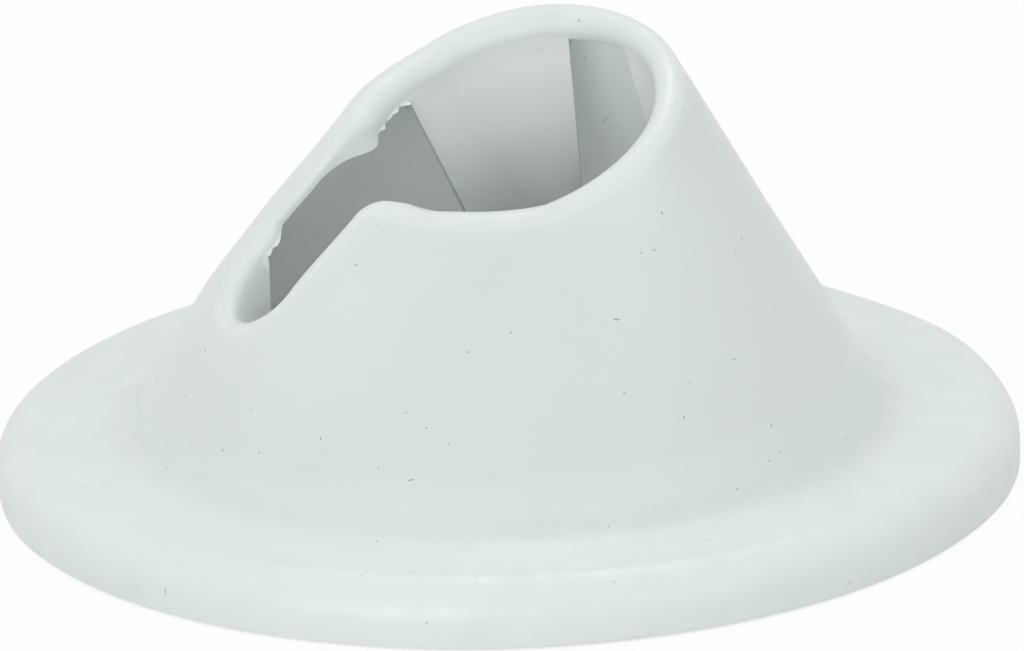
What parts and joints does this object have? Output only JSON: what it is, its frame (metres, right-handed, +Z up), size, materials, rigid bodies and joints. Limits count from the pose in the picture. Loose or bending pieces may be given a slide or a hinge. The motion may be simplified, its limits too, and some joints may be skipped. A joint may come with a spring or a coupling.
{
  "type": "turning cowl vent",
  "caption": "Moulded hood on a round flange, with a tilted keyhole mouth, that turns on a deck ring with an insect grille.",
  "frame": {"origin": "centre of the round flange, on the deck that the gasket rests on", "axes": "+Z up from the deck, along the turning axis; the hood leans towards -Y and its slot faces -X"},
  "size_m": [0.2, 0.1999, 0.0896],
  "materials": {
    "white_moulding": "off-white moulded plastic, satin, faintly mottled and dusty",
    "grey_nylon": "grey moulded nylon, satin",
    "white_grille": "off-white moulded plastic, satin",
    "gasket_rubber": "black foam rubber, matt",
    "acetal": "natural acetal, smooth",
    "steel": "stainless steel, bright"
  },
  "bodies": {
    "base": {"deck_gasket": "gasket_rubber", "deck_ring": "grey_nylon", "glide_ring": "acetal", "snap_ring": "steel", "insect_grille": "white_grille", "screen_retainer": "grey_nylon", "retainer_screw_1": "steel", "retainer_screw_2": "steel", "retainer_screw_3": "steel", "retainer_screw_4": "steel"},
    "cowl": {"cowl_shell": "white_moulding", "turning_collar": "grey_nylon", "collar_screw_1": "steel", "collar_screw_2": "steel", "collar_screw_3": "steel", "collar_screw_4": "steel", "collar_screw_5": "steel", "collar_screw_6": "steel"}
  },
  "joints": [
    {"name": "cowl_turn", "type": "hinge", "parent": "base", "child": "cowl", "pos_m": [0, 0, 0.0065], "axis": [0, 0, 1], "continuous": true}
  ]
}
